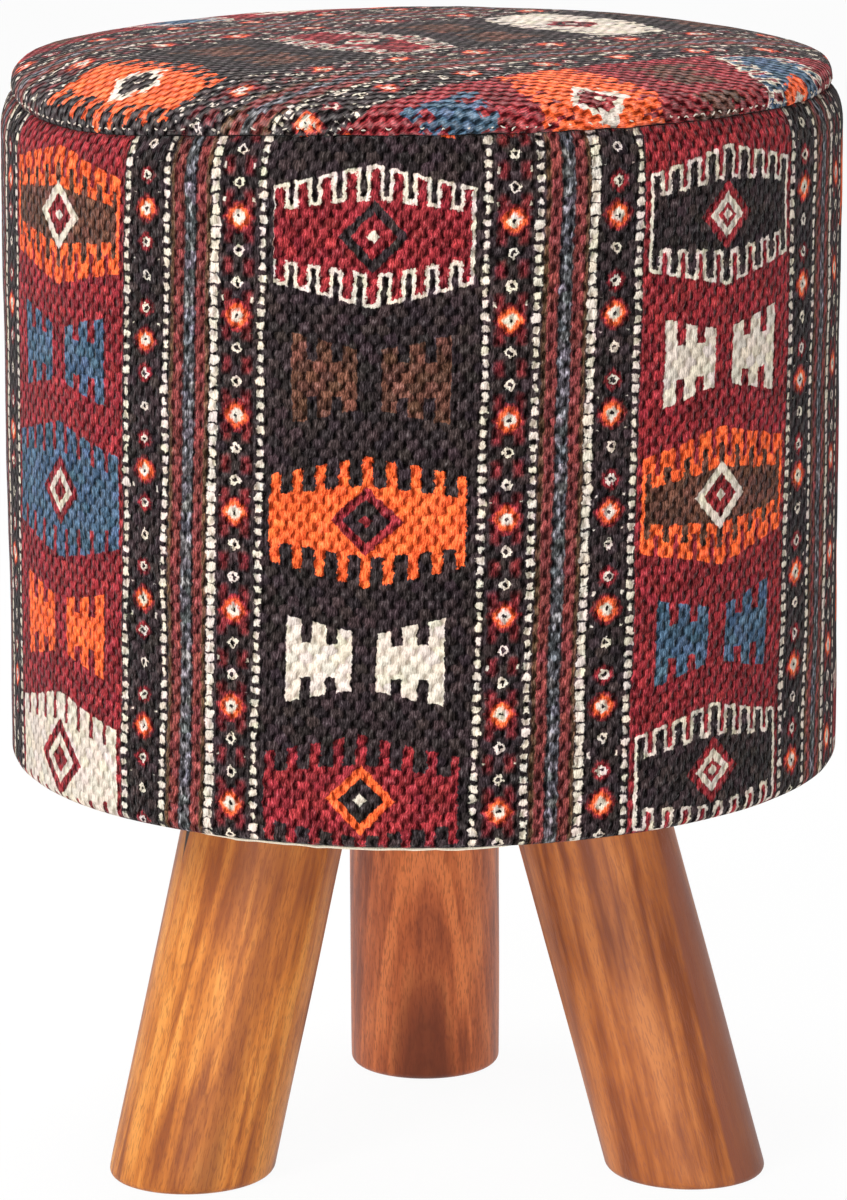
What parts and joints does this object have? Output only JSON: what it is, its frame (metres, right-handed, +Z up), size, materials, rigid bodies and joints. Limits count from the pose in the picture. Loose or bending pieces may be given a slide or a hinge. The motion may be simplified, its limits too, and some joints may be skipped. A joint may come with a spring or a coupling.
{
  "type": "kilim stool",
  "caption": "Round upholstered drum stool covered in striped kilim cloth, on splayed round legs of solid wood, for sitting or resting feet.",
  "frame": {"origin": "on the floor, under the middle of the seat", "axes": "+Z up along the axis of the drum seat; -Y is the front, between the two front legs; +Y holds the rear leg"},
  "size_m": [0.3, 0.3, 0.4092],
  "materials": {
    "kilim_cloth": "printed basket-weave cotton",
    "seam_thread": "dark sewing thread",
    "calico": "plain unbleached cotton",
    "foam": "open-cell upholstery foam",
    "plywood": "sanded plywood",
    "batten_wood": "sawn softwood",
    "leg_wood": "clear-lacquered hardwood",
    "zinc_steel": "zinc plated"
  },
  "bodies": {
    "root": {"side_cover": "kilim_cloth", "top_cover": "kilim_cloth", "seam_thread": "seam_thread", "base_cloth": "calico", "seat_foam": "foam", "side_foam": "foam", "drum_wall": "plywood", "top_board": "plywood", "base_board": "plywood", "batten_1": "batten_wood", "batten_2": "batten_wood", "batten_3": "batten_wood", "batten_4": "batten_wood", "batten_5": "batten_wood", "batten_6": "batten_wood", "front_left_leg": "leg_wood", "front_right_leg": "leg_wood", "rear_leg": "leg_wood", "front_left_hanger_bolt": "zinc_steel", "front_left_tee_nut": "zinc_steel", "front_right_hanger_bolt": "zinc_steel", "front_right_tee_nut": "zinc_steel", "rear_hanger_bolt": "zinc_steel", "rear_tee_nut": "zinc_steel", "top_board_screws": "zinc_steel", "base_board_screws": "zinc_steel", "wall_tacks": "zinc_steel", "hem_staples": "zinc_steel", "base_cloth_staples": "zinc_steel"}
  },
  "joints": []
}
